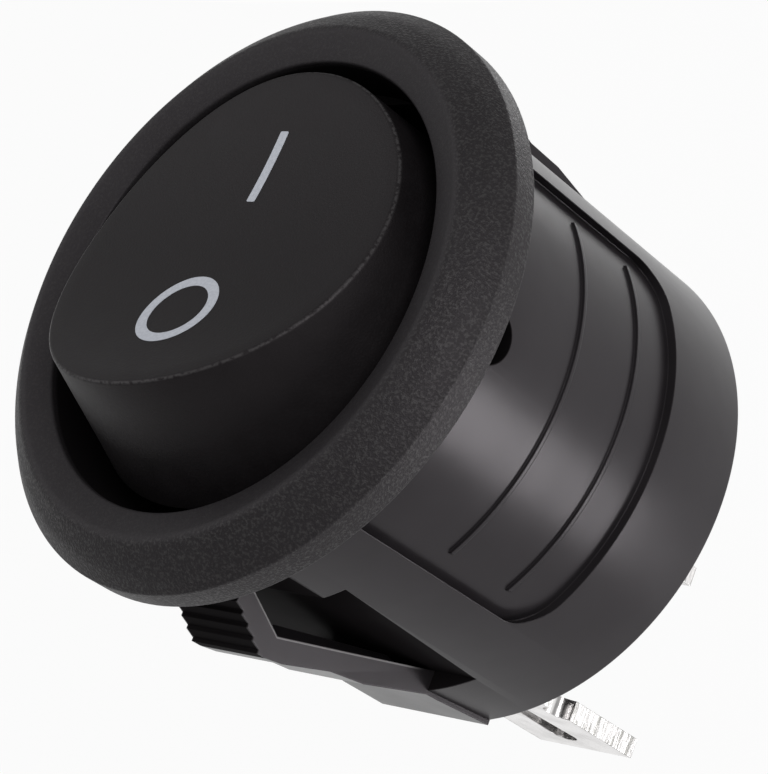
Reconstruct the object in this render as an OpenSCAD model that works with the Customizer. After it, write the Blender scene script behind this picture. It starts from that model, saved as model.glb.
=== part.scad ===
// Round panel rocker switch, single pole, on-off.
// The back face of the bezel, where it seats on the panel, is the plane z = 0.
// +Z points out of the panel, +X runs along the rocker's pivot, and +Y points
// to the end of the rocker that is marked I. The rocker rests with that end pressed.

/* [Bezel] */
// Outside diameter of the bezel
bezel_d = 23; // [22.6:0.1:25]
// Height of the bezel's straight edge
bezel_edge_h = 1.05; // [0.8:0.05:1.3]
// Diameter of the crest of the bezel
crest_d = 20.6; // [20.2:0.1:21.2]
// Height of the crest above the panel
crest_h = 2.4; // [2.1:0.05:2.8]
// How far the outer slope bulges beyond a straight one
slope_bulge = 0.15; // [0.05:0.05:0.3]
// Diameter of the opening round the rocker
opening_d = 17.64; // [17.4:0.02:17.8]
// Height of the inner lip at the opening
lip_h = 1.94; // [1.6:0.02:2.05]

/* [Body] */
// Outside diameter of the body
body_d = 20; // [19.8:0.1:20.4]
// Length of the body behind the panel
body_len = 14.9; // [14.5:0.1:17]
// Thickness of the floor
floor_t = 1.9; // [1.6:0.1:2.2]
// Radius of the round on the rear edge
rear_round = 0.35; // [0.2:0.05:0.8]
// Full-round band left between the bezel and the pockets
land_h = 0.4; // [0.3:0.05:0.6]

/* [Latch pockets] */
// Depth of the pocket beside the latch tip
pocket_top_depth = 0.83; // [0.7:0.01:0.9]
// Depth of the pocket behind the latch arm
pocket_depth = 1.26; // [1.1:0.01:1.35]
// How much shallower the pocket is at its rear end
pocket_draft = 0.2; // [0:0.05:0.25]
// Distance of the pocket's step behind the panel
pocket_step = 3.75; // [3.7:0.05:4]
// Distance of the pocket's rear end behind the panel
pocket_end = 11.8; // [11.4:0.1:12]
// Wall between the pocket and the contact room
pocket_wall = 0.84; // [0.7:0.02:0.9]

/* [Latches] */
// Width of a latch arm
latch_w = 3.5; // [3:0.1:4]
// Width of the arm where it joins the body
latch_root_w = 4.9; // [4.6:0.1:5.2]
// Width of the arm's pad at the rear edge
latch_pad_w = 5.8; // [5.5:0.1:6.4]
// How far the flat of that pad lies inside the body's outside
pad_inset = 0.15; // [0.1:0.05:0.3]
// How far the knee stands out from the body
latch_out = 1.52; // [1.2:0.02:1.8]
// Distance of the knee behind the panel
latch_knee = 4.28; // [4:0.02:4.6]
// Length of the knee's blunt nose
latch_nose = 0.9; // [0.6:0.1:1.2]
// Thickness of the arm at the knee, measured square to the axis
latch_t = 0.89; // [0.8:0.01:0.95]
// Thickness of the arm at its root
latch_root_t = 1.2; // [1:0.05:1.3]
// Distance of the arm's free end behind the panel
latch_tip = 1.75; // [1.6:0.05:1.9]
// Thickness of the free end
latch_tip_t = 0.56; // [0.4:0.02:0.6]
// Space kept free for the panel under the bezel
panel_space = 2.05; // [2.03:0.01:2.1]
// How far the first step stands out from the free end
first_step = 0.45; // [0.3:0.01:0.5]
// Number of steps that can bear on the panel
latch_steps = 5; // [3:1:7]

/* [Rating field] */
// Width of the sunk field on the side
field_w = 14.5; // [12:0.1:15]
// Distance of the field's rear edge behind the panel
field_end = 10.8; // [10:0.1:12]
// Depth of the field
field_depth = 0.35; // [0.2:0.05:0.45]
// Radius of the field's corners
field_corner = 1.3; // [0.5:0.1:2]
// Distance of the first dividing line behind the panel
line_1 = 5.45; // [4:0.05:6]
// Distance of the second dividing line behind the panel
line_2 = 8.75; // [7:0.1:9.5]
// Width of a dividing line
line_w = 0.16; // [0.1:0.02:0.3]
// Height of a dividing line above the field
line_h = 0.12; // [0.05:0.01:0.2]

/* [Rocker] */
// Distance of the pivot behind the panel
pivot_depth = 1.3; // [1.25:0.05:1.5]
// Height of the face above the pivot, at its middle
face_h = 4.4; // [4:0.1:4.7]
// Diameter of the face at its middle height
face_d = 14.8; // [14.4:0.1:15]
// Diameter of the skirt at the pivot
skirt_d = 16.6; // [16.2:0.1:16.7]
// Depth of the skirt below the pivot
skirt_drop = 0.1; // [0:0.05:0.2]
// Radius of the hollow that the finger presses
dish_r = 24; // [20:1:40]
// Angle that the rocker leans to either side
lean = 13; // [10:0.5:13.5]
// Wall of the rocker
rocker_wall = 1.1; // [0.9:0.1:1.4]
// Thickness of the face at its middle
face_t = 1.5; // [1.2:0.1:1.8]
// Thickness of the webs inside the rocker
web_t = 1; // [0.8:0.1:1.4]
// Diameter of a pivot stub
stub_d = 1.8; // [1.4:0.1:2]
// How far a stub's end lies inside the body's outside
stub_short = 0.55; // [0.3:0.05:0.8]
// Width of the lug round a stub
lug_d = 3.2; // [2.8:0.1:3.6]
// Radial play of the stubs in their holes
pivot_play = 0.06; // [0.03:0.01:0.09]
// Gap between the rocker's skirt and the room's flat walls
skirt_gap = 0.1; // [0.08:0.01:0.15]

/* [Plunger and spring] */
// Outside diameter of the spring tube
tube_d = 4.4; // [4.2:0.1:4.8]
// Depth of the tube's end below the pivot
tube_drop = 5.3; // [5:0.1:5.6]
// Diameter of the plunger
plunger_d = 2.9; // [2.6:0.1:3.1]
// Radial play of the plunger in its tube
plunger_play = 0.05; // [0.03:0.01:0.08]
// Length of the plunger held by the tube
plunger_grip = 2.4; // [2:0.1:2.8]
// Radius of the plunger's tip
tip_r = 1; // [0.8:0.05:1.1]
// Diameter of the stem inside the spring
stem_d = 1.3; // [1:0.1:1.4]
// Length of the stem
stem_len = 1.6; // [1.2:0.1:2]
// Diameter of the spring wire
wire_d = 0.3; // [0.24:0.02:0.34]
// Number of turns of the spring
turns = 8; // [6:1:10]
// Clearance between the plunger and the lever as it passes the middle
tip_gap = 0.06; // [0.05:0.01:0.1]

/* [Lever and contacts] */
// Thickness of the lever strip
lever_t = 0.4; // [0.3:0.05:0.5]
// Width of the lever
lever_w = 4.2; // [3.8:0.1:4.6]
// Length of one arm of the lever
lever_arm = 5.9; // [5.7:0.1:6.2]
// Angle that each arm is bent up
lever_bend = 9; // [8.5:0.5:10]
// Angle that the lever leans to either side
lever_lean = 8; // [6:0.5:8]
// Width of the lever's waist
waist_w = 2.9; // [2.5:0.1:3.2]
// Length of the waist
waist_len = 1.6; // [1.4:0.1:2]
// Distance of the moving contact from the fulcrum
contact_reach = 4.9; // [4.8:0.1:5]
// Diameter of the moving contact's head
moving_d = 2.6; // [2.2:0.1:2.8]
// Height of the moving contact's head
moving_h = 0.5; // [0.4:0.05:0.7]
// Diameter of the fixed contact's head
fixed_d = 2.8; // [2.4:0.1:3]
// Height of the fixed contact's head
fixed_h = 0.7; // [0.5:0.05:0.8]
// Diameter of both rivets' shanks
shank_d = 1.3; // [1:0.1:1.5]
// Gap between the contacts in the closed position
contact_gap = 0.05; // [0.03:0.01:0.08]

/* [Terminals] */
// Width of a terminal tab
tab_w = 4.8; // [4.6:0.1:5]
// Thickness of the terminals
tab_t = 0.8; // [0.7:0.05:0.85]
// Length of a tab behind the body
tab_len = 9.7; // [8:0.1:11]
// Distance of the contact terminal's middle plane from the axis
contact_tab_y = 7.45; // [7.3:0.01:7.5]
// Width of the chamfer at the tab's corners
tab_chamfer = 0.6; // [0.3:0.05:0.9]
// Radius of the wire slot's round end
eye_r = 0.62; // [0.4:0.02:0.8]
// Distance of the wire slot's round end from the tab's tip
eye_from_tip = 2.2; // [1.8:0.1:2.8]
// Radius of the wire slot's narrow end
slot_r = 0.35; // [0.2:0.05:0.4]
// Length of the wire slot between the middles of its ends
slot_len = 4.2; // [3:0.1:5]
// Radius of the notches in the tab's edges
notch_r = 0.7; // [0.4:0.05:0.9]
// Distance of the notches from the tab's tip
notch_from_tip = 5.5; // [4.5:0.1:6]
// Width of the common terminal above the floor
ear_span = 5.6; // [5.4:0.1:6]
// Height of the ears above the fulcrum
ear_rise = 0.95; // [0.7:0.05:1.2]
// Side play of the lever's waist between the ears
waist_play = 0.1; // [0.05:0.05:0.2]
// Play of the terminals in their floor slots
slot_play = 0.05; // [0.02:0.01:0.1]

/* [Hidden] */
$fn = 96;
past = 1;                       // how far a cutter runs past what it cuts
eps = 0.02;                     // sinking of one shape into another that it is fused to

bezel_r = bezel_d / 2;
crest_r = crest_d / 2;
opening_r = opening_d / 2;
body_r = body_d / 2;
floor_z = -body_len + floor_t;
tip_z = -body_len - tab_len;

// the body's flats, from the axis outwards
pocket_top_y = body_r - pocket_top_depth;
pocket_y = body_r - pocket_depth;
pocket_rear_y = pocket_y + pocket_draft;
contact_room_y = pocket_y - pocket_wall;

// the room that the rocker's skirt swings in
skirt_r = skirt_d / 2;
stub_in = skirt_r - rocker_wall;
stub_len = body_r - stub_short - stub_in;
skirt_room_y = norm([skirt_r, skirt_drop]) + skirt_gap;
skirt_room_z = -pivot_depth - skirt_drop * cos(lean) - skirt_r * sin(lean) - skirt_gap;

// the latch, from the axis outwards; its free end stays inside the body's round
knee_y = body_r + latch_out;
pad_y = body_r - pad_inset;
tip_out_y = sqrt(sqr(body_r) - sqr(latch_w / 2)) - eps;
tip_y = tip_out_y - latch_tip_t;
step_y = (knee_y - tip_out_y - first_step) / (latch_steps - 1);
step_z = (latch_knee - panel_space) / latch_steps;

// the lever's fulcrum stands at the height where the closed contacts meet
foot_top_z = floor_z + tab_t;
fixed_top_z = foot_top_z + fixed_h;
fulcrum_z = fixed_top_z + contact_gap + moving_h - contact_reach * sin(lever_bend - lever_lean);
lever_seat_gap = 0.03;
lever_crown = lever_t / cos(lever_bend);

// the plunger's tip passes the lever with the tip gap when both stand straight
tip_centre = -pivot_depth - fulcrum_z - lever_crown - (tip_r + tip_gap) / cos(lever_bend);
tube_bore_r = plunger_d / 2 + plunger_play;
plunger_top = -tube_drop + plunger_grip;
spring_top = face_h - face_t - 0.6;
spring_len = spring_top - plunger_top;
spring_r = (tube_bore_r + stem_d / 2) / 2;

function sqr(v) = v * v;

// lays an outline drawn in (y, z) across the switch, centred on x = 0
module across(width) {
    rotate([90, 0, 90]) linear_extrude(width, center = true) children();
}

// turns a part that is modelled about the pivot to its rest pose
module at_pivot() {
    translate([0, 0, -pivot_depth]) rotate([-lean, 0, 0]) children();
}

// turns a part that is modelled about the fulcrum to its rest pose
module at_fulcrum() {
    translate([0, 0, fulcrum_z]) rotate([lever_lean, 0, 0]) children();
}

// repeats what lies on the -Y side on the +Y side too
module both_ends() {
    children();
    rotate([0, 0, 180]) children();
}

// ---- housing ----

// the slice between the bezel's sloping face and an arc that bulges over it
module slope_bulge_outline() {
    run = crest_r - bezel_r;
    rise = crest_h - bezel_edge_h;
    chord = norm([run, rise]);
    r = (sqr(chord / 2) + sqr(slope_bulge)) / (2 * slope_bulge);
    out = [rise, -run] / chord;
    middle = [bezel_r + run / 2, bezel_edge_h + rise / 2];
    intersection() {
        translate(middle - out * (r - slope_bulge)) circle(r);
        polygon([[bezel_r, bezel_edge_h], [bezel_r, bezel_edge_h] + out,
                 [crest_r, crest_h] + out, [crest_r, crest_h]]);
    }
}

module bezel() {
    rotate_extrude() {
        polygon([[opening_r - past, 0], [bezel_r, 0], [bezel_r, bezel_edge_h],
                 [crest_r, crest_h], [opening_r, lip_h], [opening_r - past, lip_h]]);
        slope_bulge_outline();
    }
}

module body_block() {
    translate([0, 0, -body_len + rear_round]) cylinder(r = body_r, h = body_len - rear_round + eps);
    rotate_extrude() {
        translate([0, -body_len]) square([body_r - rear_round, rear_round + eps]);
        translate([body_r - rear_round, -body_len + rear_round]) intersection() {
            circle(rear_round);
            translate([0, -rear_round]) square([rear_round, rear_round + eps]);
        }
    }
}

// a cylinder of the opening's width, cut to a flat on either side
module flat_sided_room(half_y, low, high) {
    intersection() {
        translate([0, 0, low]) cylinder(r = opening_r, h = high - low);
        translate([-body_r, -half_y, low]) cube([body_d, 2 * half_y, high - low]);
    }
}

module rooms() {
    translate([0, 0, -land_h]) cylinder(r = opening_r, h = crest_h + land_h + past);
    flat_sided_room(skirt_room_y, skirt_room_z, -land_h + eps);
    flat_sided_room(contact_room_y, floor_z, skirt_room_z + eps);
}

// the two flats and the step between them, behind the latch on the -Y side
module pocket() {
    across(body_d) polygon([
        [-pocket_top_y, -land_h], [-pocket_top_y, -pocket_step], [-pocket_y, -pocket_step],
        [-pocket_rear_y, -pocket_end], [-body_r - past, -pocket_end], [-body_r - past, -land_h]]);
}

// the side view of the arm on the -Y side: the stepped face, the knee and the arm
module latch_outline() {
    stairs = [for (i = [0 : latch_steps - 1])
        let (out = tip_out_y + first_step + i * step_y, z = -panel_space - i * step_z)
        each [[i == 0 ? -tip_out_y : step_y - out, z], [-out, z]]];
    polygon(concat(
        [[-tip_y, -latch_tip], [-tip_out_y, -latch_tip]],
        stairs,
        [[-knee_y, -latch_knee], [0.1 - knee_y, -latch_knee - latch_nose],
         [-pocket_rear_y - latch_root_t, -pocket_end], [-pocket_rear_y, -body_len + rear_round],
         [-pocket_rear_y + eps, -pocket_end], [latch_t - knee_y, -latch_knee - 0.15]]));
}

// the arm seen from outside: even to its middle, then wider to the rear
module latch_front() {
    wide = latch_root_w / 2;
    slim = latch_w / 2;
    flare = (pocket_end + latch_knee) / 2 + slim / 2;
    polygon([[-slim, 0], [slim, 0], [slim, -flare], [wide, -pocket_end],
             [wide, -body_len], [-wide, -body_len], [-wide, -pocket_end], [-slim, -flare]]);
}

module latch() {
    intersection() {
        across(latch_root_w + past) latch_outline();
        translate([0, -pocket_y, 0]) rotate([90, 0, 0]) linear_extrude(body_r) latch_front();
    }
}

// the flat strip of body that carries the arm, wider at the rear
module latch_pad_outline() {
    polygon([[-latch_root_w / 2, -pocket_end], [latch_root_w / 2, -pocket_end],
             [latch_pad_w / 2, -body_len], [-latch_pad_w / 2, -body_len]]);
}

module latch_pad() {
    translate([0, -pocket_y, 0]) rotate([90, 0, 0]) linear_extrude(pad_y - pocket_y) latch_pad_outline();
}

module latch_pad_cut() {
    translate([0, -pad_y, 0]) rotate([90, 0, 0]) linear_extrude(past) latch_pad_outline();
}

module field_outline() {
    side = field_w / 2 - field_corner;
    translate([-side, -field_end + field_corner]) circle(field_corner);
    translate([side, -field_end + field_corner]) circle(field_corner);
    translate([-side, -field_end]) square([2 * side, field_end - land_h]);
    translate([-field_w / 2, -field_end + field_corner])
        square([field_w, field_end - field_corner - land_h]);
}

// the shallow field on the +X side, with its two dividing lines left standing
module field() {
    floor_r = body_r - field_depth;
    difference() {
        rotate([90, 0, 90]) linear_extrude(body_d) field_outline();
        translate([0, 0, -body_len - past]) cylinder(r = floor_r, h = body_len + 2 * past);
        for (at = [line_1, line_2])
            translate([0, 0, -at - line_w / 2]) cylinder(r = floor_r + line_h, h = line_w);
    }
}

module pivot_holes() {
    translate([0, 0, -pivot_depth]) rotate([0, 90, 0])
        cylinder(d = stub_d + 2 * pivot_play, h = body_d + past, center = true);
}

module tab_slot(y) {
    w = tab_w + 2 * slot_play;
    t = tab_t + 2 * slot_play;
    translate([-w / 2, y - t / 2, -body_len - past]) cube([w, t, floor_t + 2 * past]);
}

module housing() color([0.13, 0.13, 0.135]) {
    difference() {
        union() {
            bezel();
            body_block();
            both_ends() latch_pad();
        }
        rooms();
        both_ends() latch_pad_cut();
        both_ends() pocket();
        field();
        pivot_holes();
        tab_slot(-contact_tab_y);
        tab_slot(0);
    }
    both_ends() latch();
}

// ---- rocker ----

// the cone of the rocker, drawn about its pivot
module rocker_cone(inset, low, high) {
    slope = (skirt_r - face_d / 2) / face_h;
    translate([0, 0, low])
        cylinder(r1 = skirt_r - inset - slope * low, r2 = skirt_r - inset - slope * high, h = high - low);
}

module rocker_block() {
    difference() {
        rocker_cone(0, -skirt_drop, face_h + 2);
        translate([0, 0, face_h + dish_r]) rotate([0, 90, 0])
            cylinder(r = dish_r, h = body_d, center = true, $fn = 180);
    }
}

// webs that tie the spring tube to the walls
module webs() {
    translate([-body_r, -web_t / 2, -skirt_drop]) cube([body_d, web_t, face_h]);
    translate([-web_t / 2, -body_r, skirt_drop + web_t]) cube([web_t, body_d, face_h]);
}

module rocker() color([0.17, 0.165, 0.17]) at_pivot() difference() {
    union() {
        difference() {
            rocker_block();
            difference() {
                rocker_cone(rocker_wall, -skirt_drop - past, face_h - face_t);
                webs();
            }
        }
        translate([0, 0, -tube_drop]) cylinder(d = tube_d, h = tube_drop + face_h - face_t + eps);
        for (side = [-1, 1]) {
            translate([side * (skirt_r - rocker_wall / 2), 0, 0]) rotate([0, 90, 0])
                cylinder(d = lug_d, h = rocker_wall, center = true);
            translate([side * (stub_in + stub_len / 2), 0, 0]) rotate([0, 90, 0])
                cylinder(d = stub_d, h = stub_len, center = true);
        }
    }
    translate([0, 0, -tube_drop - past]) cylinder(r = tube_bore_r, h = spring_top + tube_drop + past);
}

// ---- plunger and spring ----

module plunger() color([0.85, 0.85, 0.82]) at_pivot() {
    rotate_extrude() polygon([
        [0, plunger_top + stem_len], [stem_d / 2, plunger_top + stem_len],
        [stem_d / 2, plunger_top], [plunger_d / 2, plunger_top],
        [plunger_d / 2, -tip_centre + tip_r], [tip_r * 0.9, -tip_centre], [0, -tip_centre]]);
    translate([0, 0, -tip_centre]) sphere(tip_r);
}

// height of the wire's middle after a share of the spring's length; the end turns lie close
function coil_z(turn) =
    turn < 1 ? wire_d * (turn + 0.5)
    : turn > turns - 1 ? spring_len - wire_d * (turns - turn + 0.5)
    : wire_d * 1.5 + (turn - 1) * (spring_len - 3 * wire_d) / (turns - 2);

coil_steps = 16;
coil_sides = 6;
coil_rings = turns * coil_steps;
coil_points = [
    for (i = [0 : coil_rings], j = [0 : coil_sides - 1])
        let (a = 360 * i / coil_steps, b = 360 * j / coil_sides, r = spring_r + wire_d / 2 * cos(b))
        [r * cos(a), r * sin(a), coil_z(i / coil_steps) + wire_d / 2 * sin(b)]
];
coil_faces = concat(
    [[for (j = [0 : coil_sides - 1]) j]],
    [for (i = [0 : coil_rings - 1], j = [0 : coil_sides - 1])
        let (k = (j + 1) % coil_sides, a = i * coil_sides, b = a + coil_sides)
        each [[a + j, b + j, b + k], [a + j, b + k, a + k]]],
    [[for (j = [coil_sides - 1 : -1 : 0]) coil_rings * coil_sides + j]]
);

module plunger_spring() color([0.75, 0.75, 0.77]) at_pivot()
    translate([0, 0, plunger_top]) polyhedron(coil_points, coil_faces, convexity = 10);

// ---- lever and contacts ----

// the lever's strip from the side, bent up on either side of the fulcrum
module lever_side() {
    rise = [cos(lever_bend), sin(lever_bend)];
    up = [-sin(lever_bend), cos(lever_bend)] * lever_t;
    right = rise * lever_arm;
    polygon([[0, 0], right, right + up, [0, lever_crown],
             [-right[0] - up[0], right[1] + up[1]], [-right[0], right[1]]]);
}

module lever_top() {
    end_r = lever_w / 4;
    for (side = [-1, 1]) {
        for (x = [-1, 1])
            translate([x * (lever_w / 2 - end_r), side * (lever_arm - end_r)]) circle(end_r, $fn = 48);
        translate([-lever_w / 2, side > 0 ? waist_len / 2 : -lever_arm + end_r])
            square([lever_w, lever_arm - end_r - waist_len / 2]);
        translate([-lever_w / 2 + end_r, side > 0 ? waist_len / 2 : -lever_arm])
            square([lever_w - 2 * end_r, lever_arm - waist_len / 2]);
    }
    square([waist_w, waist_len + eps], center = true);
}

// places a rivet square through the lever's arm on the -Y side
module on_arm() {
    rotate([-lever_bend, 0, 0]) translate([0, -contact_reach, 0]) children();
}

module contact_lever() color([0.79, 0.55, 0.36]) at_fulcrum() difference() {
    intersection() {
        across(lever_w) lever_side();
        translate([0, 0, -past]) linear_extrude(lever_arm) lever_top();
    }
    on_arm() cylinder(d = shank_d, h = 3 * lever_t, center = true);
}

module moving_contact() color([0.83, 0.83, 0.8]) at_fulcrum() on_arm() {
    crown_r = 2.4 * moving_d;
    intersection() {
        translate([0, 0, -moving_h]) cylinder(d = moving_d, h = moving_h);
        translate([0, 0, crown_r - moving_h]) sphere(crown_r);
    }
    translate([0, 0, -eps]) cylinder(d = shank_d, h = lever_t + eps);
    translate([0, 0, lever_t]) cylinder(d1 = moving_d * 0.75, d2 = shank_d, h = lever_t / 2);
}

module fixed_contact() color([0.83, 0.83, 0.8]) translate([0, -contact_reach, foot_top_z]) {
    rim = fixed_h / 4;
    cylinder(d = fixed_d, h = fixed_h - rim);
    translate([0, 0, fixed_h - rim]) cylinder(d1 = fixed_d, d2 = fixed_d - 2 * rim, h = rim);
    translate([0, 0, -tab_t]) cylinder(d = shank_d, h = tab_t + eps);
}

// ---- terminals ----

// a tab from the floor's top to its tip, drawn in (x, z)
module tab_outline() {
    half = tab_w / 2;
    difference() {
        polygon([[-half, floor_z], [half, floor_z], [half, tip_z + tab_chamfer],
                 [half - tab_chamfer, tip_z], [-half + tab_chamfer, tip_z], [-half, tip_z + tab_chamfer]]);
        translate([0, tip_z + eye_from_tip]) {
            circle(eye_r, $fn = 48);
            translate([0, slot_len]) circle(slot_r, $fn = 48);
            polygon([[-eye_r, 0], [eye_r, 0], [slot_r, slot_len], [-slot_r, slot_len]]);
        }
        for (side = [-1, 1]) translate([side * half, tip_z + notch_from_tip]) circle(notch_r, $fn = 48);
    }
}

// bevels that thin the tip on both broad faces
module tip_bevels() {
    thin = tab_t / 4;
    for (side = [0, 180]) rotate([0, 0, side]) across(tab_w + past)
        polygon([[-tab_t / 2 - past, tip_z - past], [-tab_t / 2 + thin, tip_z - past],
                 [-tab_t / 2 + thin, tip_z], [-tab_t / 2, tip_z + tab_chamfer],
                 [-tab_t / 2 - past, tip_z + tab_chamfer]]);
}

module tab() {
    difference() {
        rotate([90, 0, 0]) linear_extrude(tab_t, center = true) tab_outline();
        tip_bevels();
    }
}

// the tab, its bend over the floor and the foot that carries the fixed contact
module contact_terminal() color([0.86, 0.86, 0.84]) {
    foot_end = contact_reach - fixed_d / 2 - tab_t / 4;
    tab_out = contact_tab_y + tab_t / 2;
    translate([0, -contact_tab_y, 0]) tab();
    difference() {
        across(tab_w) {
            translate([-contact_tab_y, floor_z]) square([contact_tab_y - foot_end, tab_t]);
            translate([-contact_tab_y + tab_t / 2, floor_z]) intersection() {
                circle(tab_t, $fn = 64);
                translate([-tab_t, 0]) square(tab_t);
            }
        }
        translate([0, -contact_reach, floor_z - past]) cylinder(d = shank_d, h = tab_t + 2 * past);
    }
}

// the tab and, above the floor, the plate whose notch is the lever's fulcrum
module common_terminal() color([0.86, 0.86, 0.84]) {
    notch_w = waist_w + 2 * waist_play;
    seat_z = fulcrum_z - lever_seat_gap;
    tab();
    rotate([90, 0, 0]) linear_extrude(tab_t, center = true) difference() {
        translate([-ear_span / 2, floor_z]) square([ear_span, fulcrum_z + ear_rise - floor_z]);
        translate([-notch_w / 2, seat_z]) square([notch_w, ear_rise + past]);
    }
}

housing();
rocker();
plunger();
plunger_spring();
contact_lever();
moving_contact();
fixed_contact();
contact_terminal();
common_terminal();
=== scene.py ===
import bpy
from math import radians, sin, cos, tan, sqrt, pi
from mathutils import Matrix, Vector


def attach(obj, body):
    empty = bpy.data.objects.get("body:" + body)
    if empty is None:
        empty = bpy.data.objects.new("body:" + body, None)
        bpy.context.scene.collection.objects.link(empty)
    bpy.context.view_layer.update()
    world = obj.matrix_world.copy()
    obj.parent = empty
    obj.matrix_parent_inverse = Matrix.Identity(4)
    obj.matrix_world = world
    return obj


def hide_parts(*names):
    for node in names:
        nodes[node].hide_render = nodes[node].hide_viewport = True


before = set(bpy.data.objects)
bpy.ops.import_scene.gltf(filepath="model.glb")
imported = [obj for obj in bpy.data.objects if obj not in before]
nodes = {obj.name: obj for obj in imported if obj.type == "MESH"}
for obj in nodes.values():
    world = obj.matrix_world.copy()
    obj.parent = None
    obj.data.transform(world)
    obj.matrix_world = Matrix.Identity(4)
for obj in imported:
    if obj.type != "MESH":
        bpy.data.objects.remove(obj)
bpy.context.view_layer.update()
mm = 0.001
manySides = 192  # of what is round and large
fewSides = 64  # of what is round and small

print("frame loaded:", len(nodes), "CAD nodes")


# a socket that can be added, multiplied and compared like a number
class Wire:
    def __init__(self, paint, socket):
        self.paint = paint
        self.socket = socket

    def maths(self, operation, *others):
        values = dict(enumerate((self,) + others))
        return self.paint.add("ShaderNodeMath", {"operation": operation}, values)

    def __add__(self, other):
        return self.maths("ADD", other)

    def __radd__(self, other):
        return self.maths("ADD", other)

    def __sub__(self, other):
        return self.maths("SUBTRACT", other)

    def __rsub__(self, other):
        return self.paint.add("ShaderNodeMath", {"operation": "SUBTRACT"}, {0: other, 1: self})

    def __mul__(self, other):
        return self.maths("MULTIPLY", other)

    def __rmul__(self, other):
        return self.maths("MULTIPLY", other)

    # 0 below the edge, 1 above it, with a soft step between
    def above(self, edge, soft=0.01):
        settings = {"interpolation_type": "SMOOTHSTEP"}
        values = {"Value": self, "From Min": edge - soft, "From Max": edge + soft}
        return self.paint.add("ShaderNodeMapRange", settings, values)


# painted shade: the dull black painted where light hardly reaches
paintedShadeBlack = (0.008, 0.007, 0.0075, 1)


# one material, or one world, and the nodes in it
class Paint:
    def __init__(self, name, kind=bpy.data.materials):
        self.material = kind.new(name)
        self.material.use_nodes = True
        self.tree = self.material.node_tree
        self.tree.nodes.clear()

    def add(self, kind, settings=None, values=None, output=0):
        node = self.tree.nodes.new(kind)
        for key, value in (settings or {}).items():
            setattr(node, key, value)
        for key, value in (values or {}).items():
            if isinstance(value, Wire):
                self.tree.links.new(value.socket, node.inputs[key])
            else:
                node.inputs[key].default_value = value
        return Wire(self, node.outputs[output]) if len(node.outputs) else None

    # the piece's own coordinates, in millimetres
    def place(self, scale=(1, 1, 1)):
        here = self.add("ShaderNodeTexCoord", output="Object")
        values = {"Vector": here, "Scale": [1000 * s for s in scale]}
        return self.add("ShaderNodeMapping", values=values)

    # the three coordinates of a place
    def axes(self, place):
        node = self.add("ShaderNodeSeparateXYZ", values={0: place}).socket.node
        return [Wire(self, node.outputs[i]) for i in range(3)]

    def noise(self, place, scale, detail=2.0, roughness=0.5):
        values = {"Vector": place, "Scale": scale, "Detail": detail, "Roughness": roughness}
        return self.add("ShaderNodeTexNoise", values=values)

    def blend(self, amount, first, second):
        first, second = [c if isinstance(c, Wire) else (*c, 1) for c in (first, second)]
        values = {0: amount, 6: first, 7: second}
        return self.add("ShaderNodeMix", {"data_type": "RGBA"}, values, output=2)

    def bevelled(self, radius):
        return self.add("ShaderNodeBevel", {"samples": 6}, {"Radius": radius * mm})

    def bump(self, height, normal):
        values = {"Strength": 1.0, "Distance": mm, "Height": height, "Normal": normal}
        return self.add("ShaderNodeBump", values=values)

    # the closing shader; where the shade mask is 1 it gives way to a dull black, painted shade
    def finish(self, values, paintedShadeAmount=None):
        shader = self.add("ShaderNodeBsdfPrincipled", values=values)
        if paintedShadeAmount is not None:
            paintedShadeShader = self.add("ShaderNodeBsdfDiffuse", values={"Color": paintedShadeBlack})
            shader = self.add("ShaderNodeMixShader", values={0: paintedShadeAmount, 1: shader, 2: paintedShadeShader})
        self.add("ShaderNodeOutputMaterial", values={"Surface": shader})
        return self.material


def letGo():
    bpy.ops.object.select_all(action="DESELECT")


def pick(piece):
    letGo()
    piece.select_set(True)
    bpy.context.view_layer.objects.active = piece


# selects the corners that pass a test, and the edges between them
def pickCorners(piece, test):
    mesh = piece.data
    for vertex in mesh.vertices:
        vertex.select = test(vertex.co)
    for edge in mesh.edges:
        edge.select = all(mesh.vertices[i].select for i in edge.vertices)
    for face in mesh.polygons:
        face.select = False


def editMode(editing):
    bpy.ops.object.mode_set(mode="EDIT" if editing else "OBJECT")


def selectAll():
    bpy.ops.mesh.select_all(action="SELECT")


# closes the seams and turns every face of the open mesh outwards
def faceOutwards():
    selectAll()
    bpy.ops.mesh.remove_doubles(threshold=0.0005)
    bpy.ops.mesh.normals_make_consistent(inside=False)


# draws a chain of corners, in millimetres
def drawChain(name, corners):
    letGo()
    bpy.ops.mesh.primitive_plane_add(size=0.1)
    piece = bpy.context.object
    piece.name = name
    editMode(True)
    selectAll()
    bpy.ops.mesh.merge(type="CENTER")
    bpy.ops.transform.translate(value=corners[0])
    for start, end in zip(corners, corners[1:]):
        step = Vector(end) - Vector(start)
        bpy.ops.mesh.extrude_region_move(TRANSFORM_OT_translate={"value": step})
    editMode(False)
    return piece


# fills a chain and pushes it along a vector into a solid
def drawSolid(name, corners, push):
    piece = drawChain(name, corners)
    editMode(True)
    selectAll()
    bpy.ops.mesh.edge_face_add()
    bpy.ops.mesh.extrude_region_move(TRANSFORM_OT_translate={"value": push})
    faceOutwards()
    editMode(False)
    return piece


# turns a chain of (radius, height) once round the Z axis
def turned(name, profile, steps=manySides):
    piece = drawChain(name, [(r, 0, z) for r, z in profile])
    editMode(True)
    selectAll()
    bpy.ops.mesh.spin(steps=steps, angle=2 * pi, center=(0, 0, 0), axis=(0, 0, 1))
    faceOutwards()
    editMode(False)
    return piece


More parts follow.
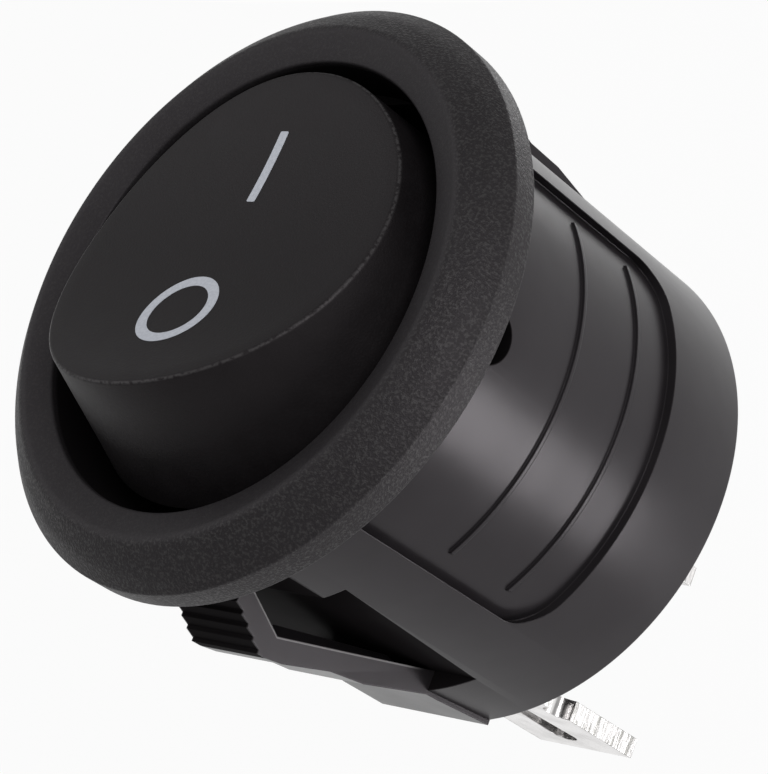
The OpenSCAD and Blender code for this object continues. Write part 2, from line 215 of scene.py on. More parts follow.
# the corners (x, y, radius) of an outline, each with an arc of its radius
def rounded(corners, steps=5):
    result = []
    for i, (x, y, radius) in enumerate(corners):
        here = Vector((x, y))
        if not radius:
            result.append((x, y))
            continue
        back = (Vector(corners[i - 1][:2]) - here).normalized()
        ahead = (Vector(corners[(i + 1) % len(corners)][:2]) - here).normalized()
        half = back.angle(ahead) / 2
        middle = here + (back + ahead).normalized() * (radius / sin(half))
        first = here + back * (radius / tan(half)) - middle
        last = here + ahead * (radius / tan(half)) - middle
        for k in range(steps + 1):
            spoke = middle + first.slerp(last, k / steps).normalized() * radius
            result.append((spoke.x, spoke.y))
    return result


def combine(piece, tool, operation):
    pick(piece)
    change = piece.modifiers.new("combine", "BOOLEAN")
    change.operation = operation
    change.solver = "EXACT"
    change.object = tool
    bpy.ops.object.modifier_apply(modifier=change.name)
    bpy.data.objects.remove(tool)
    return piece


def softenEdges(piece, width, segments=2, angle=30):
    pick(piece)
    change = piece.modifiers.new("soften", "BEVEL")
    change.width = width
    change.segments = segments
    change.limit_method = "ANGLE"
    change.angle_limit = radians(angle)
    bpy.ops.object.modifier_apply(modifier=change.name)
    return piece


def joined(pieces, name):
    pick(pieces[0])
    for piece in pieces:
        piece.select_set(True)
    bpy.ops.object.join()
    pieces[0].name = name
    return pieces[0]


# brings a piece drawn in millimetres to its place in metres
def settle(piece, smooth=28, lean=0.0, height=0.0):
    pick(piece)
    piece.rotation_euler = (radians(lean), 0, 0)
    piece.location = (0, 0, height * mm)
    piece.scale = (mm, mm, mm)
    bpy.ops.object.transform_apply(location=True, rotation=True, scale=True)
    bpy.ops.object.shade_smooth_by_angle(angle=radians(smooth))
    return piece


def cylinder(radius, low, high, sides=manySides):
    letGo()
    middle = (0, 0, (low + high) / 2)
    bpy.ops.mesh.primitive_cylinder_add(
        vertices=sides, radius=radius, depth=high - low, location=middle)
    return bpy.context.object


# a round bar along the X axis
def crossBar(radius, low, high, height=0.0):
    letGo()
    middle = ((low + high) / 2, 0, height)
    bpy.ops.mesh.primitive_cylinder_add(
        vertices=fewSides, radius=radius, depth=abs(high - low),
        location=middle, rotation=(0, radians(90), 0))
    return bpy.context.object


def block(middle, sides):
    letGo()
    bpy.ops.mesh.primitive_cube_add(size=1, location=middle, scale=sides)
    return bpy.context.object


# all sizes are in millimetres, and heights run from the panel's face
housingSize = {
    "radius": 10.0,
    "rear": -15.05,
    "rearRound": 0.12,
    "floor": -13.0,
    "bezelRadius": 11.5,
    "bezelFoot": 0.08,  # round of the edge on the panel
    "bezelEdge": (1.05, 0.15),  # height, round
    "bulge": (10.95, 1.70, 2.4),  # radius, height, round
    "crest": (10.02, 2.38, 0.5),  # the same three
    "lip": (8.82, 1.94, 0.13),  # the same three
    "land": -0.4,  # ledge inside the opening
    "skirtRoom": (8.4, -3.365),  # half width, floor
    "contactRoom": 7.9,  # half width
    # distance from the middle and height, round each latch pocket
    "pocket": (
        (9.17, -0.4), (9.17, -3.75), (8.74, -3.75),
        (8.94, -11.8), (11.5, -11.8), (11.5, -0.4)),
    "field": (7.25, -10.8, 1.3),  # half width, rear edge, corner
    "fieldBlock": (5.5, 6.0),  # where its tool starts along X, and how far it runs
    "fieldRadius": (9.65, -14, 2),  # and the lower and upper end of the core that is kept
    "lines": (-5.45, -8.75),
    "lineSize": (0.16, 0.12, 6.4),  # width, height, half length
    "hole": (0.96, -1.3),  # radius, height
    "slot": (4.9, 0.9, 4.0),  # a terminal's way through the floor
    "slotHeight": -14.5,
    "slots": (-7.45, 0.0),
    "past": 0.1,  # how far one room's tool runs into the next
    "clear": 0.5,  # how far the tools stand out of the body
    "padSunk": 0.3,  # extra depth cut under a latch's root
}


def bezelProfile(size):
    radius, rear, land = size["radius"], size["rear"], size["land"]
    out = size["bezelRadius"]
    opening = size["lip"][0]
    return rounded([
        (0, rear, 0), (radius, rear, size["rearRound"]), (radius, 0, 0),
        (out, 0, size["bezelFoot"]), (out, *size["bezelEdge"]),
        size["bulge"], size["crest"], size["lip"], (opening, land, 0), (0, land, 0)])


# a cylinder cut to a flat on either side
def flatSided(radius, halfWidth, low, high):
    tool = cylinder(radius, low, high)
    editMode(True)
    for side in (-1, 1):
        selectAll()
        at = (0, side * halfWidth, 0)
        bpy.ops.mesh.bisect(plane_co=at, plane_no=(0, side, 0), use_fill=True, clear_outer=True)
    editMode(False)
    return tool


latchSize = {
    "half": 1.75,  # half the arm's width
    "flareFrom": -7.4,
    "flare": (2.41, -12.05),  # half width, height
    "rear": (2.82, -15.2),  # the same two
    "blank": 3.2,  # half width before the sides are cut
    "mask": (8, 4),  # where the cut across the sides starts, and how far it runs
    "tip": ((9.15, -1.75), (9.8, -1.75), (9.826, -2.05)),  # distance from the middle, height
    "firstStep": (10.28, -2.05),
    "knee": (11.52, -4.28),
    "steps": 5,
    "tooth": 0.13,  # depth
    "outside": ((11.42, -5.1), (10.78, -7.44), (10.62, -9.0)),
    "inside": ((8.5, -12.9), (8.93, -11.82), (10.64, -4.43)),
    "crown": ((10.8, -4.2), (10.1, -4.9), (8.9, -10.9), (9.3, -11.2)),  # rib inside the arm
    "crownHalf": 1.5,
    "crownTaper": 0.4,  # the rib's inner width as a share of its outer one
    "pad": ((9.86, -11.8), (9.86, -12.4), (9.78, -15.04)),  # flat outside of the root
    "padInside": 9.1,
}


# pushes a side view of a latch, given as (distance from the middle, height), through its width
def latchSolid(name, corners, side, half):
    return drawSolid(name, [(-half, side * out, z) for out, z in corners], (2 * half, 0, 0))


# the front view of an arm, pushed through it
def latchMask(size, side):
    half = size["half"]
    start, depth = size["mask"]
    right = [(half, 0), (half, size["flareFrom"]), size["flare"], size["rear"]]
    left = [(-x, z) for x, z in reversed(right)]
    corners = [(x, side * start, z) for x, z in right + left]
    return drawSolid("latchMask", corners, (0, side * depth, 0))


# cuts the room for an arm's root, a little deeper than the root; it runs on into the
# pocket above and past the rear
def padTool(size, side, reach, sunk):
    (out, top), middle, (rearOut, rear) = size["pad"]
    flat = [(out, top + sunk), middle, (rearOut, rear - sunk)]
    corners = [(across - sunk, z) for across, z in flat] + [(reach, rear - sunk), (reach, top + sunk)]
    pad = latchSolid("padTool", corners, side, size["blank"])
    return combine(pad, latchMask(size, side), "INTERSECT")


# the sunk field on the +X side, with its two lines left standing
def fieldTool(size):
    half, end, corner = size["field"]
    land = size["land"]
    start, depth = size["fieldBlock"]
    corners = [(-half, land, 0), (-half, end, corner), (half, end, corner), (half, land, 0)]
    outline = [(start, y, z) for y, z in rounded(corners, steps=10)]
    tool = drawSolid("fieldTool", outline, (depth, 0, 0))
    radius, low, high = size["fieldRadius"]
    combine(tool, cylinder(radius, low, high), "DIFFERENCE")
    width, height, reach = size["lineSize"]
    for at in size["lines"]:
        line = flatSided(radius + height, reach, at - width / 2, at + width / 2)
        combine(tool, line, "DIFFERENCE")
    return tool


def makeHousing(size):
    shell = turned("housingShell", bezelProfile(size))
    roomWidth, roomFloor = size["skirtRoom"]
    opening = size["lip"][0]
    past = size["past"]
    across = size["radius"] + size["clear"]
    tools = [
        flatSided(opening, roomWidth, roomFloor, size["land"] + past),
        flatSided(opening, size["contactRoom"], size["floor"], roomFloor + past)]
    for side in (-1, 1):
        outline = [(-across, side * out, z) for out, z in size["pocket"]]
        tools.append(drawSolid("pocketTool", outline, (2 * across, 0, 0)))
        tools.append(padTool(latchSize, side, across, size["padSunk"]))
    tools.append(fieldTool(size))
    radius, height = size["hole"]
    tools.append(crossBar(radius, -across, across, height))
    for y in size["slots"]:
        tools.append(block((0, y, size["slotHeight"]), size["slot"]))
    for tool in tools:
        combine(shell, tool, "DIFFERENCE")
    return settle(shell)


# the side view of an arm: the toothed face, the knee, the outside, the root and the inside
def latchOutline(size):
    fromOut, fromZ = size["firstStep"]
    kneeOut, kneeZ = size["knee"]
    run = (kneeOut - fromOut) / (size["steps"] - 1)
    fall = (kneeZ - fromZ) / size["steps"]
    corners = list(size["tip"])
    for i in range(size["steps"]):
        out, z = fromOut + i * run, fromZ + i * fall
        if i:
            corners.append((out - size["tooth"], z))
        corners.append((out, z))
    root = [(size["padInside"], size["pad"][-1][1]), (size["padInside"], size["inside"][0][1])]
    return corners + [size["knee"], *size["outside"], *size["pad"], *root, *size["inside"]]


def makeLatch(size, side):
    arm = latchSolid("arm", latchOutline(size), side, size["blank"])
    combine(arm, latchMask(size, side), "INTERSECT")
    crown = latchSolid("crown", size["crown"], side, size["crownHalf"])
    inner = size["crown"][1:3]
    pickCorners(crown, lambda at: any(abs(abs(at.y) - out) + abs(at.z - z) < 0.01 for out, z in inner))
    editMode(True)
    bpy.ops.transform.resize(value=(size["crownTaper"], 1, 1), center_override=(0, 0, 0))
    editMode(False)
    return combine(arm, crown, "UNION")


# heights run from the pivot, with the rocker upright
rockerSize = {
    "pivot": -1.3,  # height of the pivot from the panel's face
    "lean": -13,  # degrees, with I pressed
    "skirt": 8.3,  # radius at the lower edge
    "face": 7.36,  # radius at the middle of the face
    "height": 4.4,
    "drop": -0.1,  # height that the wall's rings are counted from
    "dish": 24.0,  # radius of the hollow
    "edge": 0.15,
    "wallRings": 4,
    "faceRings": 10,
    "tube": ((1.5, -5.3), (2.2, -5.3), (2.2, 3.0), (1.5, 3.0), (1.5, -5.3)),
    "tubeRoom": (1.9, -4, 6),  # radius, lower and upper end of what the webs leave free
    "web": (14.3, 1.0, 3.0),  # length, thickness, height
    "webMiddle": 1.45,
    "stubFrom": 7.2,
    "stub": (0.9, 9.3),  # radius, reach
    "lug": (1.6, 8.25),
    "stubEdge": 0.12,
}


def dishHeight(y, size):
    return size["height"] + size["dish"] - sqrt(size["dish"] ** 2 - y * y)


# how much the cone narrows for each millimetre of height
def wallSlope(size):
    return (size["skirt"] - size["face"]) / size["height"]


# where the cone meets the hollow face, straight out from the middle; each pass leaves
# less than a tenth of the error
def rimRadius(share, size):
    radius = size["face"]
    for step in range(12):
        radius = size["skirt"] - wallSlope(size) * dishHeight(radius * share, size)
    return radius


# pushes the selected ring up or in, then scales it about the middle
def pushRing(rise, share=1.0):
    bpy.ops.mesh.extrude_region_move(TRANSFORM_OT_translate={"value": (0, 0, rise)})
    bpy.ops.transform.resize(value=(share, share, 1), center_override=(0, 0, 0))


# a ring's corner, counted upwards in whole steps, goes to its place on the cone or the
# hollow; the lowest ring stays level with the pivot
def shapeRocker(at, size):
    level = round(at.z)
    reach = sqrt(at.x ** 2 + at.y ** 2)
    if level == 0:
        return at
    if reach < 0.001:
        return Vector((0, 0, size["height"]))
    alongX, alongY = at.x / reach, at.y / reach
    rim = rimRadius(alongY, size)
    if level > size["wallRings"]:
        radius = rim * reach / size["skirt"]
        height = dishHeight(radius * alongY, size)
    else:
        share = level / size["wallRings"]
        radius = size["skirt"] + (rim - size["skirt"]) * share
        height = size["drop"] + (dishHeight(rim * alongY, size) - size["drop"]) * share
    return Vector((alongX * radius, alongY * radius, height))


def onRim(at, size):
    reach = sqrt(at.x ** 2 + at.y ** 2)
    return abs(reach - rimRadius(at.y / max(0.001, reach), size)) < 0.002


def makeRocker(size):
    letGo()
    # drawn at the drop, which raises the tube, webs and stubs by as much when they are joined to it
    bpy.ops.mesh.primitive_circle_add(
        vertices=manySides, radius=size["skirt"], location=(0, 0, size["drop"]))
    shell = bpy.context.object
    editMode(True)
    selectAll()
    # rings up the wall, then inwards over the face, each a whole step higher
    for ring in range(size["wallRings"]):
        pushRing(1)
    for left in range(size["faceRings"], 1, -1):
        pushRing(1, (left - 1) / left)
    pushRing(1)
    bpy.ops.mesh.merge(type="CENTER")
    editMode(False)
    for vertex in shell.data.vertices:
        vertex.co = shapeRocker(vertex.co, size)
    # the round along the edge of the face
    pickCorners(shell, lambda at: onRim(at, size))
    editMode(True)
    bpy.ops.mesh.bevel(offset=size["edge"], segments=5, affect="EDGES", clamp_overlap=False)
    faceOutwards()
    editMode(False)
    pieces = [shell, turned("springTube", size["tube"], fewSides)]
    length, thickness, depth = size["web"]
    radius, low, high = size["tubeRoom"]
    for sides in ((length, thickness, depth), (thickness, length, depth)):
        web = block((0, 0, size["webMiddle"]), sides)
        pieces.append(combine(web, cylinder(radius, low, high, fewSides), "DIFFERENCE"))
    for radius, reach in (size["stub"], size["lug"]):
        for side in (-1, 1):
            stub = crossBar(radius, side * size["stubFrom"], side * reach)
            pieces.append(softenEdges(stub, size["stubEdge"]))
    return settle(joined(pieces, "rockerShell"), lean=size["lean"], height=size["pivot"])


# I and O, laid on the rocker's face and placed from its middle
markSize = {
    "bar": (0.41, 1.80, 4.75),  # width, lower end, upper end
    "barCorner": 0.06,
    "barParts": 16,
    "ringSides": 128,
    "ringAt": (0.18, -3.26),
    "ringOutside": (1.65, 1.62),  # half of its size along X and Y
    "ringInside": (1.22, 1.19),
    "rise": 0.018,
    "thickness": 0.08,
}


# lays a flat sign on the hollow face and gives it a body
def layOnFace(sign, size, rocker):
    for vertex in sign.data.vertices:
        vertex.co.z = dishHeight(vertex.co.y, rocker) + size["rise"]
    pick(sign)
    editMode(True)
    selectAll()
    pushRing(-size["thickness"])
    faceOutwards()
    editMode(False)
    return settle(sign, lean=rocker["lean"], height=rocker["pivot"])


def makeBar(size, rocker):
    width, low, high = size["bar"]
    letGo()
    bpy.ops.mesh.primitive_plane_add(size=1, location=(0, (low + high) / 2, 0))
    bar = bpy.context.object
    bar.name = "markBar"
    bar.scale = (width, high - low, 1)
    bpy.ops.object.transform_apply(location=True, rotation=True, scale=True)
    editMode(True)
    selectAll()
    bpy.ops.mesh.bevel(offset=size["barCorner"], segments=3, affect="VERTICES")
    parts = size["barParts"]
    for i in range(1, parts):
        selectAll()
        at = low + (high - low) * i / parts
        bpy.ops.mesh.bisect(plane_co=(0, at, 0), plane_no=(0, 1, 0))
    editMode(False)
    return layOnFace(bar, size, rocker)


def makeRing(size, rocker):
    letGo()
    bpy.ops.mesh.primitive_circle_add(vertices=size["ringSides"], radius=1)
    ring = bpy.context.object
    ring.name = "markRing"
    outX, outY = size["ringOutside"]
    inX, inY = size["ringInside"]
    editMode(True)
    selectAll()
    bpy.ops.transform.resize(value=(outX, outY, 1))
    bpy.ops.mesh.extrude_region_move(TRANSFORM_OT_translate={"value": (0, 0, 0)})
    bpy.ops.transform.resize(value=(inX / outX, inY / outY, 1))
    selectAll()
    bpy.ops.transform.translate(value=(*size["ringAt"], 0))
    editMode(False)
    return layOnFace(ring, size, rocker)


housingShell = makeHousing(housingSize)
latchArms = joined([makeLatch(latchSize, side) for side in (-1, 1)], "latchArms")
settle(latchArms, smooth=20)
print("housing and latches:", len(housingShell.data.polygons), len(latchArms.data.polygons), "faces")

rockerShell = makeRocker(rockerSize)
markBar = makeBar(markSize, rockerSize)
markRing = makeRing(markSize, rockerSize)
print("rocker and its signs:", len(rockerShell.data.polygons), "faces")

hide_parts("housing")
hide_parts("housing")
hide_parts("rocker")
for piece in (housingShell, latchArms):
    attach(piece, "base")
for piece in (rockerShell, markBar, markRing):
    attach(piece, "rocker")


# a pair is an edge and how softly it is crossed; places and depths are in millimetres
housingLook = {
    "base": (0.0142, 0.0125, 0.0139),
    "dusty": (0.0182, 0.0164, 0.0180),
    "grainPit": (0.0110, 0.0103, 0.0105),
    "grainTop": (0.0420, 0.0405, 0.0405),
    "grain": 9.5,
    "speck": (0.56, 0.10),
    "flow": 0.35,
    "dust": (0.5, 0.3),
    "slopeGrain": 0.45,
    "bezelGrain": 0.2,
    "pitShare": 0.6,
    "slopeDepth": 0.026,
    "bezelDepth": 0.006,
    "flowDepth": 0.02,
    "fineDepth": 0.0012,
    "bezelRoughness": 0.52,
    "bodyRoughness": 0.30,
    "speckShine": 0.15,
    "uneven": 0.10,
    "specular": 0.22,
    "tint": (1.0, 0.93, 0.985, 1),
    "edge": 0.07,
    "shade": 0.94,  # how far the painted shade darkens pockets, opening, hole and ridges
    "bezelFrom": (0.02, 0.02),
    "crest": (10.02, 0.15),
    "pocketRadius": (9.98, 0.01),
    "pocketFrom": (8.5, 0.02),  # distance from the middle
    "pocketTop": (-0.38, 0.02),
    "pocketEnd": (-11.83, 0.02),
    "opening": (8.86, 0.02),
    "openingTop": (1.7, 0.1),
    "hole": (1.0, 0.02),
    "holeEnd": (9.97, 0.01),
    "ridgeHalf": (1.70, 0.02),
    "ridgeEnd": (-4.35, 0.05),
    "innerPeak": (10.64, -4.43),  # distance from the middle, height
    "innerSlopes": (0.2314, 0.556),
    "innerWidth": (0.07, 0.01),
    "innerHalf": (1.66, 0.01),
    "innerEnd": (-10.9, 0.5),
    "innerHighlightColour": (0.16, 0.155, 0.158),
}


# a painted highlight along the inner edge of a latch arm
def innerEdgeHighlight(x, y, z, look):
    out, peak = look["innerPeak"]
    rise, fall = look["innerSlopes"]
    inner = ((z - peak) * rise + out).maths("MINIMUM", (z - peak) * -fall + out)
    near = 1 - (y.maths("ABSOLUTE") - inner).above(*look["innerWidth"])
    return near * x.maths("ABSOLUTE").above(*look["innerHalf"]) * z.above(*look["innerEnd"])


# painted shade on the arm's ridges, where they lie
def ridgeShade(x, z, look):
    return z.above(*look["ridgeEnd"]) * (1 - x.maths("ABSOLUTE").above(*look["ridgeHalf"]))


# painted shade in the pockets, the opening and the pivot's hole, where they lie
def hollowShade(y, z, radius, look, holeHeight):
    pocket = (1 - radius.above(*look["pocketRadius"])) * y.maths("ABSOLUTE").above(*look["pocketFrom"])
    pocket = pocket * (1 - z.above(*look["pocketTop"])) * z.above(*look["pocketEnd"])
    opening = (1 - radius.above(*look["opening"])) * (1 - z.above(*look["openingTop"]))
    up = z - holeHeight
    fromHole = (y * y + up * up).maths("SQRT")
    hollow = pocket.maths("MAXIMUM", opening).maths("MAXIMUM", 1 - fromHole.above(*look["hole"]))
    return hollow * (1 - radius.above(*look["holeEnd"]))


def housingPlastic(name, look, onLatch):
    paint = Paint(name)
    place = paint.place()
    x, y, z = paint.axes(place)
    radius = (x * x + y * y).maths("SQRT")
    onBezel = z.above(*look["bezelFrom"])
    onSlope = onBezel * radius.above(*look["crest"])

    coarse = paint.noise(place, look["grain"], roughness=0.6)
    fine = paint.noise(place, 2 * look["grain"])
    flow = paint.noise(place, look["flow"])
    strength = onSlope * look["slopeGrain"] + onBezel * look["bezelGrain"]
    speck = coarse.above(*look["speck"]) * strength
    height = coarse * onSlope * look["slopeDepth"] + fine * onBezel * look["bezelDepth"]
    height = height + flow * look["flowDepth"] * (1 - onBezel) + fine * look["fineDepth"]

    plain = paint.blend(flow.above(*look["dust"]), look["base"], look["dusty"])
    if onLatch:
        # painted shade on the arm's ridges
        shade = ridgeShade(x, z, look)
        # a painted highlight along the arm's inner edge
        plain = paint.blend(innerEdgeHighlight(x, y, z, look), plain, look["innerHighlightColour"])
    else:
        # painted shade in the pockets, the opening and the pivot's hole
        shade = hollowShade(y, z, radius, look, housingSize["hole"][1])
    pitted = paint.blend(strength * look["pitShare"], plain, look["grainPit"])
    roughness = look["bodyRoughness"] + onBezel * (look["bezelRoughness"] - look["bodyRoughness"])
    roughness = roughness - speck * look["speckShine"] + (flow - 0.5) * look["uneven"]
    return paint.finish({
        "Base Color": paint.blend(speck, pitted, look["grainTop"]),
        "Roughness": roughness,
        "Specular IOR Level": look["specular"],
        "Specular Tint": look["tint"],
        "Normal": paint.bump(height, paint.bevelled(look["edge"])),
    }, shade * look["shade"])


rockerLook = {
    "base": (0.0052, 0.0044, 0.0049),
    "worn": (0.0088, 0.0076, 0.0083),
    # lighter rim along the face's edge: part wear, part painted highlight
    "edgeWearAndHighlight": (0.0420, 0.0400, 0.0410),
    "wearWidth": (0.075, 0.05),
    "wear": 6.5,
    "wearEdge": (0.47, 0.08),
    "cloud": 0.6,
    "cloudEdge": (0.5, 0.25),
    "cloudShare": 0.6,
    "grain": 12.0,
    "grainEdge": (0.58, 0.1),
    "grainShare": 0.4,
    "depth": 0.009,
    "roughness": 0.5,
    "uneven": (0.12, 0.1, 0.12),  # from the cloud, the grain and the wear
    "specular": 0.22,
    "tint": (1.0, 0.92, 0.96, 1),
    "edge": 0.05,
}


def rockerPlastic(look, size):
    paint = Paint("matteRocker")
    place = paint.place()
    x, y, z = paint.axes(place)
    # the same place in the rocker's own frame, upright on its pivot
    turn = radians(-size["lean"])
    up = z - size["pivot"]
    along = y * cos(turn) - up * sin(turn)
    up = y * sin(turn) + up * cos(turn)
    reach = (x * x + along * along).maths("SQRT")
    fromWall = size["skirt"] - up * wallSlope(size) - reach
    fromFace = along * along * (0.5 / size["dish"]) + size["height"] - up
    grain = paint.noise(place, look["grain"], roughness=0.6)
    cloud = paint.noise(place, look["cloud"], 3.0, 0.6)
    # the rim of the face, painted lighter: wear and a painted highlight along the edge
    worn = (1 - fromWall.above(*look["wearWidth"])) * (1 - fromFace.above(*look["wearWidth"]))
    worn = worn * paint.noise(place, look["wear"], 3.0, 0.6).above(*look["wearEdge"])
    greyed = cloud.above(*look["cloudEdge"]) * look["cloudShare"]
    greyed = greyed + grain.above(*look["grainEdge"]) * look["grainShare"]
    plain = paint.blend(greyed, look["base"], look["worn"])
    byCloud, byGrain, byWear = look["uneven"]
    roughness = look["roughness"] + (cloud - 0.5) * byCloud + (grain - 0.5) * byGrain
    return paint.finish({
        "Base Color": paint.blend(worn, plain, look["edgeWearAndHighlight"]),
        "Roughness": roughness - worn * byWear,
        "Specular IOR Level": look["specular"],
        "Specular Tint": look["tint"],
        "Normal": paint.bump(grain * look["depth"], paint.bevelled(look["edge"])),
    })


inkLook = {
    "base": (0.50, 0.52, 0.57),
    "thin": (0.42, 0.44, 0.49),
    "grain": 9.0,
    "grainEdge": (0.5, 0.2),
    "roughness": 0.55,
    "uneven": 0.2,
    "depth": 0.004,
    "edge": 0.02,
}


def printedInk(look):
    paint = Paint("printedInk")
    grain = paint.noise(paint.place(), look["grain"], 3.0, 0.6)
    return paint.finish({
        "Base Color": paint.blend(grain.above(*look["grainEdge"]), look["thin"], look["base"]),
        "Roughness": look["roughness"] + (grain - 0.5) * look["uneven"],
        "Normal": paint.bump(grain * look["depth"], paint.bevelled(look["edge"])),
    })


tinLook = {
    "base": (0.76, 0.745, 0.74),
    "dull": (0.62, 0.605, 0.60),
    "cloud": 0.8,
    "cloudEdge": (0.55, 0.2),
    "halfWidth": (2.33, 0.03),  # where the plate's sheared edge starts
    "torn": (0.36, 0.355, 0.34),
    "tornEdge": (0.56, 0.06),
    "sheared": (2.2, (1, 0.35, 2.6), 0.05),  # scale, stretch, depth
    "rolled": (6.0, (1, 1, 0.15), 0.004),  # the same three
    "roughness": 0.22,
    "uneven": 0.25,
    "edgeRoughness": 0.1,
    "edge": 0.05,
}


def tinPlate(look):
    paint = Paint("tinnedBrass")
    place = paint.place()
    x = paint.axes(place)[0]
    scale, stretch, tornDepth = look["sheared"]
    sheared = paint.noise(paint.place(stretch), scale, 3.0, 0.6)
    scale, stretch, rolledDepth = look["rolled"]
    rolled = paint.noise(paint.place(stretch), scale)
    cloud = paint.noise(place, look["cloud"], 3.0, 0.6)
    onEdge = x.maths("ABSOLUTE").above(*look["halfWidth"])
    height = sheared * onEdge * tornDepth + rolled * (1 - onEdge) * rolledDepth
    plain = paint.blend(cloud.above(*look["cloudEdge"]), look["base"], look["dull"])
    torn = sheared.above(*look["tornEdge"]) * onEdge
    return paint.finish({
        "Base Color": paint.blend(torn, plain, look["torn"]),
        "Roughness": look["roughness"] + (cloud - 0.5) * look["uneven"] + onEdge * look["edgeRoughness"],
        "Metallic": 1.0,
        "Normal": paint.bump(height, paint.bevelled(look["edge"])),
    })


# name: (colour, dull colour, roughness, scale of the streaks)
plainMetals = {
    "silverContact": ((0.86, 0.85, 0.82), (0.66, 0.64, 0.60), 0.30, 8),
    "rolledCopper": ((0.86, 0.52, 0.34), (0.62, 0.34, 0.20), 0.32, 6),
    "springWire": ((0.62, 0.62, 0.64), (0.42, 0.42, 0.44), 0.28, 10),
}
metalLook = {
    "cloud": 0.9,
    "cloudEdge": (0.55, 0.2),
    "uneven": 0.2,
    "stretch": (1, 0.1, 1),
    "depth": 0.003,
    "edge": 0.05,
}


def plainMetal(name, base, dull, roughness, grain, look):
    paint = Paint(name)
    cloud = paint.noise(paint.place(), look["cloud"], 3.0, 0.6)
    streaks = paint.noise(paint.place(look["stretch"]), grain)
    return paint.finish({
        "Base Color": paint.blend(cloud.above(*look["cloudEdge"]), base, dull),
        "Roughness": roughness + (cloud - 0.5) * look["uneven"],
        "Metallic": 1.0,
        "Normal": paint.bump(streaks * look["depth"], paint.bevelled(look["edge"])),
    })


nylonLook = {
    "base": (0.74, 0.72, 0.66),
    "milky": (0.82, 0.81, 0.77),
    "cloud": 1.2,
    "grain": 14.0,
    "roughness": 0.42,
    "uneven": 0.15,
    "depth": 0.002,
    "edge": 0.06,
}


def naturalNylon(look):
    paint = Paint("naturalNylon")
    place = paint.place()
    cloud = paint.noise(place, look["cloud"], 3.0, 0.6)
    grain = paint.noise(place, look["grain"])
    return paint.finish({
        "Base Color": paint.blend(cloud, look["base"], look["milky"]),
        "Roughness": look["roughness"] + (cloud - 0.5) * look["uneven"],
        "Normal": paint.bump(grain * look["depth"], paint.bevelled(look["edge"])),
    })


def dress(pieces, material):
    for piece in pieces:
        piece.data.materials.clear()
        piece.data.materials.append(material)


metals = {name: plainMetal(name, *values, metalLook) for name, values in plainMetals.items()}
dress([housingShell], housingPlastic("mouldedHousing", housingLook, False))
dress([latchArms], housingPlastic("mouldedLatch", housingLook, True))
dress([rockerShell], rockerPlastic(rockerLook, rockerSize))
dress([markBar, markRing], printedInk(inkLook))
dress([nodes["contact_terminal"], nodes["common_terminal"]], tinPlate(tinLook))
dress([nodes["fixed_contact"], nodes["moving_contact"]], metals["silverContact"])
dress([nodes["contact_lever"]], metals["rolledCopper"])
dress([nodes["plunger_spring"]], metals["springWire"])
dress([nodes["plunger"]], naturalNylon(nylonLook))
print("finishes on", len(bpy.data.materials), "materials")


cameraPlace = {
    "at": (71.2634, -27.0195, 59.4109),  # in millimetres, as the lens
    "towards": (-0.70736, 0.26774, -0.65419),
    "up": (-0.06069, 0.8985, 0.43476),
    "lens": 126.75,
}


def addCamera(place):
    forward = Vector(place["towards"]).normalized()
    right = forward.cross(Vector(place["up"])).normalized()
    above = right.cross(forward)
    lens = bpy.data.cameras.new("camera")
    lens.lens = place["lens"]
    lens.sensor_width = 36
    lens.clip_start = 0.005
    camera = bpy.data.objects.new("camera", lens)
    bpy.context.scene.collection.objects.link(camera)
    turn = Matrix((right, above, -forward)).transposed().to_4x4()
    camera.matrix_world = Matrix.Translation(Vector(place["at"]) * mm) @ turn
    bpy.context.scene.camera = camera


# name: (azimuth, elevation, distance and size in metres, power in watts)
lamps = {
    "keyLamp": (5, 42, 0.50, 0.30, 1.45),
    "backLamp": (172, 50, 0.50, 0.40, 0.55),
    "lowLamp": (-12, -41, 0.13, 0.05, 0.11),
    "rearLamp": (95, -41, 0.15, 0.05, 0.07),
}


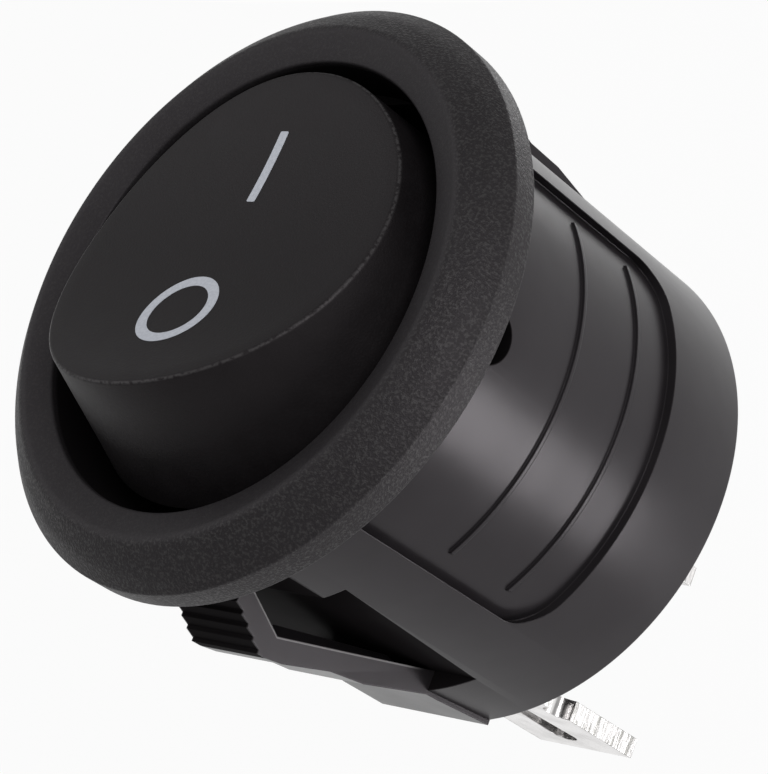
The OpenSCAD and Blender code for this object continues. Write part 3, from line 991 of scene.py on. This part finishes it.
def addLamps(lamps):
    for name, (azimuth, elevation, distance, size, power) in lamps.items():
        a, e = radians(azimuth), radians(elevation)
        spot = Vector((cos(a) * cos(e), sin(a) * cos(e), sin(e))) * distance
        lamp = bpy.data.lights.new(name, "AREA")
        lamp.shape = "SQUARE"
        lamp.size = size
        lamp.energy = power
        holder = bpy.data.objects.new(name, lamp)
        bpy.context.scene.collection.objects.link(holder)
        turn = spot.to_track_quat("Z", "Y").to_matrix().to_4x4()
        holder.matrix_world = Matrix.Translation(spot) @ turn
        holder.visible_camera = False


floorLook = {
    "size": 3,  # in metres, as the height
    "height": -0.09,
    "colour": (0.9, 0.9, 0.9, 1),
    "glow": 0.9,  # share of white that the camera and its reflections see
    "white": (1, 1, 1, 1),
}


def addFloor(look):
    paint = Paint("paleFloor")
    camera, glossy, through = [
        paint.add("ShaderNodeLightPath", output=name)
        for name in ("Is Camera Ray", "Is Glossy Ray", "Is Transmission Ray")]
    seen = (camera + glossy + through).maths("MINIMUM", 1.0)
    matt = paint.add("ShaderNodeBsdfDiffuse", values={"Color": look["colour"]})
    glow = paint.add("ShaderNodeEmission", values={"Color": look["white"], "Strength": 1.0})
    mixed = paint.add("ShaderNodeMixShader", values={0: seen * look["glow"], 1: matt, 2: glow})
    paint.add("ShaderNodeOutputMaterial", values={"Surface": mixed})
    letGo()
    bpy.ops.mesh.primitive_plane_add(size=look["size"], location=(0, 0, look["height"]))
    floor = bpy.context.object
    floor.name = "floor"
    floor.data.materials.append(paint.material)


worldLook = {
    "white": (1, 1, 1, 1),
    "level": 0.36,  # how bright it is for the light, against what the camera sees
}


def addWorld(look):
    paint = Paint("studio", bpy.data.worlds)
    seen = paint.add("ShaderNodeLightPath", output="Is Camera Ray")
    strength = seen * (1 - look["level"]) + look["level"]
    sky = paint.add("ShaderNodeBackground", values={"Color": look["white"], "Strength": strength})
    paint.add("ShaderNodeOutputWorld", values={"Surface": sky})
    bpy.context.scene.world = paint.material


addCamera(cameraPlace)
addLamps(lamps)
addFloor(floorLook)
addWorld(worldLook)
bpy.context.scene.view_settings.view_transform = "Standard"
print("camera, lamps and floor")
